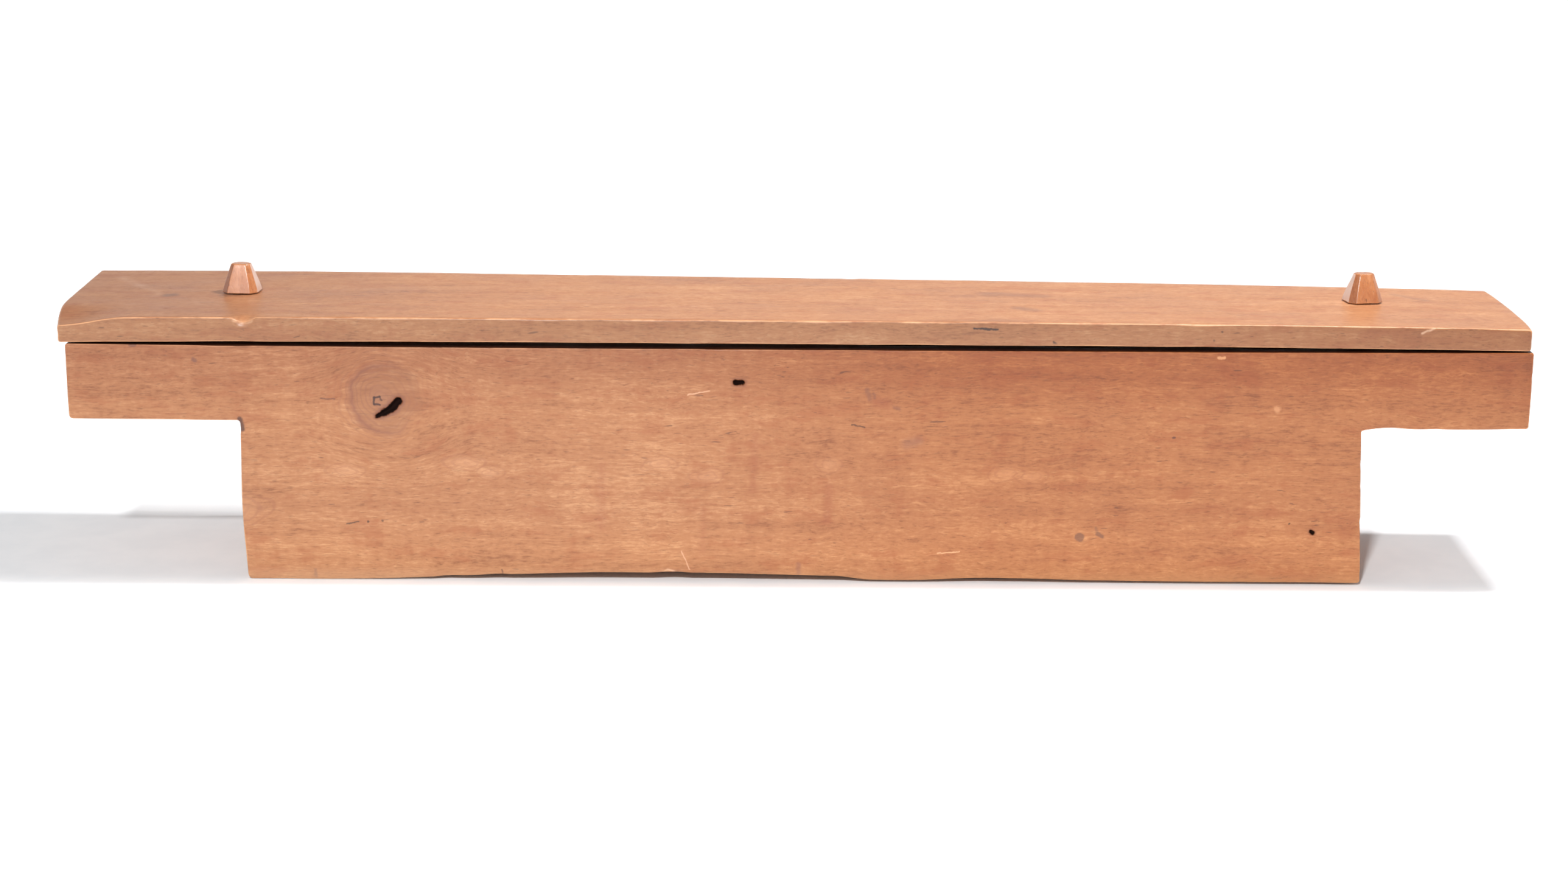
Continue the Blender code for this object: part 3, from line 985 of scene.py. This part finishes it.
def knot_tone(paint, tone, place):
    """The greyish-brown disc of the knot and its faint rings, with a painted shadow on its left: a dark
    crescent, and the rings drawn stronger there.
    """
    middle = (KNOT[0] - 0.003, BLOCK_LOW.y, KNOT[1] + 0.005)
    away = paint.vector("DISTANCE", place, middle, 1)
    left = paint.band(paint.part(place, "X"), KNOT[0] + 0.020, KNOT[0] - 0.016)
    ring = paint.product(paint.band(away, 0.040, 0.018), paint.band(paint.waves(away, 0.0034), 0.0, 1.0))
    tone = paint.lay(tone, paint.band(away, 0.025, 0.018), 0.30, (0.205, 0.088, 0.045))
    # Rings stronger on the left, as painted shadow.
    tone = paint.lay(tone, ring, paint.sum(paint.product(left, 0.24), 0.16), (0.22, 0.085, 0.050))
    # Painted shadow: the dark crescent on the knot's left.
    off = paint.math("ABSOLUTE", paint.math("SUBTRACT", away, 0.0215))
    crescent = paint.product(paint.band(off, 0.0035, 0.0), left)
    tone = paint.lay(tone, crescent, 0.55, (0.20, 0.075, 0.046))
    return paint.lay(tone, paint.band(away, 0.012, 0.002), 0.35, (0.26, 0.115, 0.070))


def board_wood():
    tones = ((0.212, 0.074, 0.029), (0.345, 0.144, 0.062), (0.470, 0.235, 0.114), (0.28, 0.086, 0.033))
    paint, tone, inputs = wood("board_wood", tones, 0.42, 0.0, 0.0, (KNOT[0], BLOCK_LOW.y, KNOT[1]))
    flat_place = front_place(paint)
    rough_place = paint.warp(flat_place, (300, 0, 300), (0.0020, 0.0, 0.0020))
    wavy_place = paint.warp(rough_place, (42, 0, 60), (0.014, 0.0, 0.009))
    for spot, *sizes in EYES:
        tone = eye(paint, tone, wavy_place, spot, *sizes)
    tone = knot_tone(paint, tone, wavy_place)
    tone, inputs["Specular_IOR_Level"] = front_marks(paint, tone, rough_place)
    # The block's own tones, with painted bounce light and painted shade laid over them.
    return paint.finish(Base_Color=board_tones_and_painted_light(paint, tone, rough_place), **inputs)


def front_place(paint):
    """The paint's place, but as flat as the front face down to the bottom of its deep marks."""
    parts = {axis: paint.part(paint.place, axis) for axis in "XYZ"}
    parts["Y"] = paint.math("MAXIMUM", paint.math("SUBTRACT", parts["Y"], 0.006), BLOCK_LOW.y)
    return paint.node("CombineXYZ", parts)


BLACK = (0.012, 0.006, 0.005)
INK = (0.05, 0.020, 0.016)
SOOT = (0.06, 0.03, 0.02)
UMBER = (0.10, 0.04, 0.03)
BROWN = (0.16, 0.07, 0.05)
DULL = (0.15, 0.070, 0.050)
SMUDGE = (0.17, 0.075, 0.055)
RED = (0.27, 0.085, 0.040)
SCRATCH = (0.70, 0.42, 0.27)

# Stains, cracks and scratches on the block's front, and painted shade in the inner corner of its left step:
# from and to (x and z), half width, softness, tint and strength.
STAINS_AND_CORNER_SHADE = [
    ((0.1801, 0.0307), (0.1803, 0.0305), 0.0028, 0.0014, DULL, 0.75),
    ((0.1915, 0.0328), (0.1945, 0.0312), 0.0013, 0.0012, DULL, 0.75),
    ((0.1903, 0.0362), (0.1908, 0.0350), 0.0010, 0.0012, (0.20, 0.095, 0.060), 0.6),
    ((0.2360, 0.0949), (0.2362, 0.0949), 0.0009, 0.0006, (0.08, 0.03, 0.03), 0.8),
    ((0.0530, 0.1168), (0.0590, 0.1150), 0.0030, 0.0060, RED, 0.55),
    ((0.0721, 0.0899), (0.0790, 0.0920), 0.0028, 0.0060, (0.22, 0.10, 0.07), 0.55),
    ((0.0470, 0.1240), (0.0490, 0.1185), 0.0014, 0.0020, SMUDGE, 0.50),
    ((0.0510, 0.1215), (0.0520, 0.1190), 0.0009, 0.0014, SMUDGE, 0.50),
    ((0.0640, 0.1128), (0.0668, 0.1124), 0.0010, 0.0016, SMUDGE, 0.50),
    ((0.2986, 0.1138), (0.2990, 0.1133), 0.0018, 0.0022, (0.60, 0.34, 0.20), 0.5),
    ((0.2613, 0.1458), (0.2650, 0.1456), 0.0008, 0.0008, (0.72, 0.50, 0.36), 0.9),
    ((-0.2553, 0.1172), (-0.2515, 0.1178), 0.0006, 0.0006, INK, 0.9),
    ((-0.2548, 0.1172), (-0.2553, 0.1130), 0.0006, 0.0006, INK, 0.9),
    ((-0.2553, 0.1130), (-0.2517, 0.1125), 0.0006, 0.0006, INK, 0.9),
    ((-0.2515, 0.1178), (-0.2508, 0.1150), 0.0005, 0.0006, INK, 0.7),
    # Painted shade in the inner corner under the left overhang.
    ((-0.3380, 0.1030), (-0.3368, 0.0965), 0.0015, 0.0014, (0.08, 0.03, 0.02), 0.9),
    ((-0.2878, 0.1163), (-0.2792, 0.1160), 0.0004, 0.0008, UMBER, 0.8),
    ((-0.2745, 0.0363), (-0.2669, 0.0377), 0.0004, 0.0006, SOOT, 0.85),
    ((-0.2612, 0.0379), (-0.2610, 0.0379), 0.0007, 0.0006, SOOT, 0.85),
    ((-0.2525, 0.0384), (-0.2523, 0.0384), 0.0006, 0.0006, SOOT, 0.7),
    ((-0.3646, 0.1405), (-0.3640, 0.1400), 0.0014, 0.0016, (0.18, 0.08, 0.06), 0.7),
    ((-0.4031, 0.1494), (-0.4000, 0.1492), 0.0009, 0.0010, BROWN, 0.7),
    ((0.0380, 0.1020), (0.0460, 0.1005), 0.0004, 0.0007, INK, 0.8),
    ((0.3100, 0.0402), (0.3101, 0.0402), 0.0006, 0.0006, BLACK, 0.8),
    ((-0.1784, 0.0020), (-0.1790, 0.0075), 0.0004, 0.0006, (0.07, 0.02, 0.015), 0.85),
    ((-0.0627, 0.1200), (-0.0497, 0.1227), 0.0004, 0.0006, SCRATCH, 0.7),
    ((0.0923, 0.0194), (0.1060, 0.0206), 0.0004, 0.0006, SCRATCH, 0.7),
    ((-0.0670, 0.0200), (-0.0620, 0.0080), 0.0004, 0.0006, (0.66, 0.38, 0.25), 0.5),
    ((-0.0215, 0.0950), (-0.0225, 0.0600), 0.0022, 0.0040, RED, 0.32),
    ((0.0245, 0.0620), (0.0235, 0.0400), 0.0026, 0.0040, RED, 0.38),
    ((-0.1156, 0.0750), (-0.1170, 0.0350), 0.0024, 0.0050, RED, 0.28),
    ((-0.0530, 0.0470), (-0.0540, 0.0200), 0.0018, 0.0040, RED, 0.26),
    ((-0.2950, 0.0060), (-0.2950, 0.0020), 0.0010, 0.0014, BROWN, 0.6),
    ((0.0060, 0.0060), (0.0060, 0.0120), 0.0014, 0.0020, (0.20, 0.08, 0.06), 0.5),
]


def front_marks(paint, tone, place):
    """Draws the deep marks with a dark brown rim, painted black inside as the shade in them and without a
    sheen, and the stains, scratches and one painted corner shade. Returns tone and sheen.
    """

    def line(base, start, end, half, soft, tint, strength):
        spots = [(x, BLOCK_LOW.y, z) for x, z in (start, end)]
        return paint.mark(base, *spots, half, soft, tint, strength, place)

    for start, end, half, _depth in DEEP_MARKS:
        tone = line(tone, start, end, half * 2.2, half * 1.6, (0.16, 0.06, 0.04), 0.55)
    sheen = (SHEEN, SHEEN, SHEEN)
    # Painted shade: the deep marks black inside.
    for start, end, half, _depth in DEEP_MARKS:
        tone = line(tone, start, end, half * 1.30, 0.0009, BLACK, 1.0)
        sheen = line(sheen, start, end, half * 1.60, 0.0009, (0.0, 0.0, 0.0), 1.0)
    for marking in STAINS_AND_CORNER_SHADE:
        tone = line(tone, *marking)
    return tone, sheen


def board_tones_and_painted_light(paint, tone, place):
    """The block is paler along its foot, and warmer and darker towards its right end. It is lighter low
    down, as painted bounce light from the floor, and darker near its top, as painted shade under the lid.
    Its top is darker, and painted nearly black along the front as the shade in the gap under the lid's
    edge."""
    height = paint.part(paint.place, "Z")
    tone = paint.lay(tone, paint.band(height, 0.010, 0.001), 0.30, (0.58, 0.34, 0.20))
    # Painted bounce light from the floor: lighter below about 5 cm.
    tone = paint.shade(tone, paint.band(height, 0.050, 0.012), (1.15, 1.18, 1.15))
    warm = paint.band(paint.part(place, "X"), -0.14, 0.16)
    tone = paint.shade(tone, warm, (0.94, 0.81, 0.66))
    # Painted shade under the lid: darker near the top of the front, more so where the right end is warmer.
    high = paint.band(height, 0.104, 0.146)
    tone = paint.shade(tone, high, (0.80, 0.72, 0.70))
    tone = paint.shade(tone, paint.product(high, warm), (0.92, 0.78, 0.62))
    upward = paint.band(paint.normal_share("Z"), 0.80, 0.98)
    on_top = paint.product(upward, paint.band(height, 0.13, 0.14))
    tone = paint.shade(tone, on_top, (0.62, 0.58, 0.56))
    # Painted shade: the top nearly black along the front, where the gap under the lid's edge is.
    along_front = paint.band(paint.part(paint.place, "Y"), BLOCK_LOW.y + 0.016, BLOCK_LOW.y + 0.008)
    return paint.shade(tone, paint.product(on_top, along_front), (0.24, 0.20, 0.20))


PITCH = (0.03, 0.015, 0.012)
RUBBED = (0.62, 0.40, 0.28)

# Marks on the lid's front (x and z) and on its top (x and y): from, to, half width, softness, tint
# and strength.
LID_FRONT_MARKS = [
    ((0.112, 0.1632), (0.126, 0.1628), 0.0007, 0.0008, PITCH, 0.95),
    ((0.1605, 0.1545), (0.1620, 0.1540), 0.0007, 0.0008, PITCH, 0.8),
    ((0.2581, 0.1566), (0.2583, 0.1566), 0.0007, 0.0008, PITCH, 0.7),
    ((0.2627, 0.1623), (0.2629, 0.1623), 0.0006, 0.0008, PITCH, 0.7),
    ((-0.3385, 0.1650), (-0.3290, 0.1645), 0.0013, 0.0016, (0.62, 0.37, 0.23), 0.45),
    ((0.3846, 0.1618), (0.3921, 0.1655), 0.0007, 0.0010, (0.66, 0.42, 0.28), 0.5),
]
LID_TOP_MARKS = [
    ((-0.3917, -0.0075), (-0.3900, -0.0070), 0.0042, 0.0050, (0.16, 0.075, 0.05), 0.65),
    ((-0.4340, 0.0475), (-0.4170, 0.0230), 0.0030, 0.0070, RUBBED, 0.17),
    ((-0.4170, 0.0230), (-0.3990, -0.0020), 0.0022, 0.0060, RUBBED, 0.13),
    ((-0.3560, -0.0080), (-0.3490, -0.0070), 0.0040, 0.0070, (0.13, 0.06, 0.04), 0.55),
    ((0.1250, 0.0120), (0.1600, 0.0060), 0.0050, 0.0090, (0.22, 0.10, 0.07), 0.40),
    ((0.3869, 0.0240), (0.4029, 0.0079), 0.0030, 0.0060, (0.25, 0.12, 0.08), 0.35),
    ((0.1420, -0.0300), (0.1515, -0.0355), 0.0040, 0.0070, (0.22, 0.10, 0.07), 0.45),
]


def lid_wood():
    tones = ((0.325, 0.127, 0.057), (0.480, 0.213, 0.099), (0.605, 0.320, 0.171), (0.395, 0.133, 0.060))
    paint, tone, inputs = wood("lid_wood", tones, 0.44, 0.14, 3.7)
    # Laid over the lid's tones: painted shade on the left of its top.
    tone = lid_tones_and_painted_shade(paint, tone)
    place = paint.warp(paint.place, (260, 260, 260), (0.0025, 0.0025, 0.0025), (2, 2, 2))
    top = LID_LOW.z + LID_BOW + LID_THICKNESS_RIGHT
    for start, end, *look in LID_FRONT_MARKS:
        spots = [(x, LID_LOW.y, z) for x, z in (start, end)]
        tone = paint.mark(tone, *spots, *look, place)
    for start, end, *look in LID_TOP_MARKS:
        tone = paint.mark(tone, (*start, top), (*end, top), *look, place)
    return paint.finish(Base_Color=tone, **inputs)


def lid_tones_and_painted_shade(paint, tone):
    """The lid's top darkens towards its left end, as painted shade. Its front is duller, and darkens to the
    right.
    """
    across = paint.part(paint.place, "X")
    on_front = paint.band(paint.normal_share("Y"), 0.60, 0.95)
    on_top = paint.band(paint.normal_share("Z"), 0.80, 0.98)
    # Painted shade: the top darker towards the left end.
    left = paint.product(paint.band(across, -0.15, -0.47), on_top)
    tone = paint.shade(tone, left, (0.73, 0.70, 0.68))
    tone = paint.shade(tone, on_top, (1.02, 0.98, 0.92))
    tone = paint.shade(tone, on_front, (0.57, 0.55, 0.51))
    right = paint.product(paint.band(across, 0.05, 0.46), on_front)
    return paint.shade(tone, right, (0.86, 0.74, 0.62))


# Facets of the pegs that get a painted sheen, paler, or painted shade, darker: peg, degrees from its front,
# tint and strength.
FACET_SHEEN_AND_SHADE = [
    ("peg_left", 0, (0.62, 0.37, 0.28), 0.42),
    ("peg_left", 90, (0.80, 0.64, 0.56), 0.45),
    ("peg_left", -45, (0.17, 0.055, 0.024), 0.62),
    ("peg_right", -90, (0.78, 0.64, 0.56), 0.5),
    ("peg_right", -45, (0.20, 0.065, 0.028), 0.55),
]
FACET_LEAN = (0.93, 0.36)


def peg_wood():
    """Reddish hardwood whose fibres stand upright, with a painted sheen on some facets and painted shade on
    others.
    """
    tones = ((0.27, 0.085, 0.030), (0.46, 0.175, 0.065), (0.58, 0.27, 0.13), (0.34, 0.10, 0.035))
    paint, tone, inputs = wood("peg_wood", tones, 0.30, 0.35, 8.2, upright=True)
    across = paint.part(paint.node("TexCoord", {}, "Object"), "X")
    out, up = FACET_LEAN
    # Painted sheen and painted shade on single facets.
    for name, degrees, tint, strength in FACET_SHEEN_AND_SHADE:
        turn = PEG_TURNS[name] + math.radians(degrees)
        way = (out * math.sin(turn), -out * math.cos(turn), up)
        facing = paint.vector("DOT_PRODUCT", paint.normal, way, 1)
        end = math.copysign(0.01, middle_of(name).x)
        mask = paint.product(paint.band(facing, 0.90, 0.965), paint.band(across, -end, end))
        tone = paint.lay(tone, mask, strength, tint)
    return paint.finish(Base_Color=tone, **inputs)


def seed_coat():
    """Smooth grey nut skin with faint rings and spots."""
    paint = Paint(bpy.data.materials.new("seed"))
    cloud = paint.noise(paint.place, (180, 180, 180))
    crack = paint.noise(paint.place, (1400, 1400, 1400), 2.0, 0.5)
    tone = paint.mix(paint.band(cloud, 0.35, 0.65), (0.24, 0.235, 0.20), (0.44, 0.43, 0.37))
    tone = paint.lay(tone, paint.band(crack, 0.56, 0.66), 0.5, (0.12, 0.11, 0.09))
    relief = paint.node("Bump", {"Height": crack, "Strength": 0.3, "Distance": 0.0001})
    rough = paint.spread(cloud, 0.24, 0.38)
    return paint.finish(Base_Color=tone, Roughness=rough, Normal=relief, Coat_Weight=0.2)


# -------- studio


WHITE = (1.0, 1.0, 1.0)
FLOOR_HALF = 14.0


def floor_paint():
    """White floor, a little aglow away from the board, so that only its shadows darken it."""
    paint = Paint(bpy.data.materials.new("studio_floor"))
    cloud = paint.noise(paint.place, (30, 30, 30))
    tone = paint.mix(paint.band(cloud, 0.3, 0.7), (0.88, 0.905, 0.93), (0.92, 0.94, 0.96))
    aside = paint.math("ABSOLUTE", paint.part(paint.place, "Y"))
    near = paint.product(paint.band(aside, 0.060, 0.115), 0.45)
    far = paint.product(paint.band(paint.length(paint.place), 0.50, 1.60), 0.35)
    glow = {"Emission_Color": WHITE, "Emission_Strength": paint.sum(near, far)}
    return paint.finish(Base_Color=tone, Roughness=0.75, Specular_IOR_Level=0.2, **glow)


def make_floor():
    mesh = bpy.data.meshes.new("studio_floor")
    corners = [(FLOOR_HALF * x, FLOOR_HALF * y, 0) for x, y in ((-1, -1), (1, -1), (1, 1), (-1, 1))]
    mesh.from_pydata(corners, [], [(0, 1, 2, 3)])
    mesh.materials.append(floor_paint())
    add_object("studio_floor", mesh)


def softbox(name, place, aim, size, power):
    """A rectangular studio light that shines from place towards aim."""
    light = bpy.data.lights.new(name, "AREA")
    light.shape = "RECTANGLE"
    light.size, light.size_y = size
    light.energy = power
    lamp = add_object(name, light)
    lamp.location = place
    lamp.rotation_euler = (Vector(aim) - Vector(place)).to_track_quat("-Z", "Y").to_euler()


def surround():
    """White surroundings, brightest low down."""
    sky = Paint(bpy.data.worlds.new("studio"), "Background")
    height = sky.part(sky.node("TexCoord", {}, "Generated"), "Z")
    fade = {"Value": height, "From Min": 0.08, "From Max": 0.45, "To Min": 1.0, "To Max": 0.30}
    strength = sky.node("MapRange", fade, interpolation_type="SMOOTHSTEP")
    bpy.context.scene.world = sky.finish(Color=WHITE, Strength=strength)


def light_studio():
    """Surroundings, a light over the right end and one in front, to the left."""
    surround()
    softbox("overhead", (0.59, 0.06, 1.53), (0.0, 0.0, 0.0), (0.14, 0.25), 20.0)
    softbox("front", (-0.40, -2.30, 1.80), (0.0, 0.0, 0.08), (0.18, 0.18), 66.0)
    bpy.context.scene.view_settings.view_transform = "Standard"


def add_camera():
    data = bpy.data.cameras.new("camera")
    data.lens = CAMERA_LENS
    data.sensor_width = CAMERA_SENSOR
    camera = add_object("camera", data)
    camera.location = CAMERA_PLACE
    look = Matrix.Rotation(math.pi / 2 - CAMERA_PITCH, 4, "X") @ Matrix.Rotation(CAMERA_ROLL, 4, "Z")
    camera.rotation_euler = look.to_euler()
    bpy.context.scene.camera = camera


def main():
    make_board(board_wood())
    make_lid(lid_wood())
    whittled = peg_wood()
    for name in PEG_TURNS:
        make_peg(name, whittled)
    coat = seed_coat()
    for name in sorted(frame["nodes"]):
        if name.startswith("seed"):
            make_seed(name, coat)
    make_floor()
    light_studio()
    add_camera()


main()
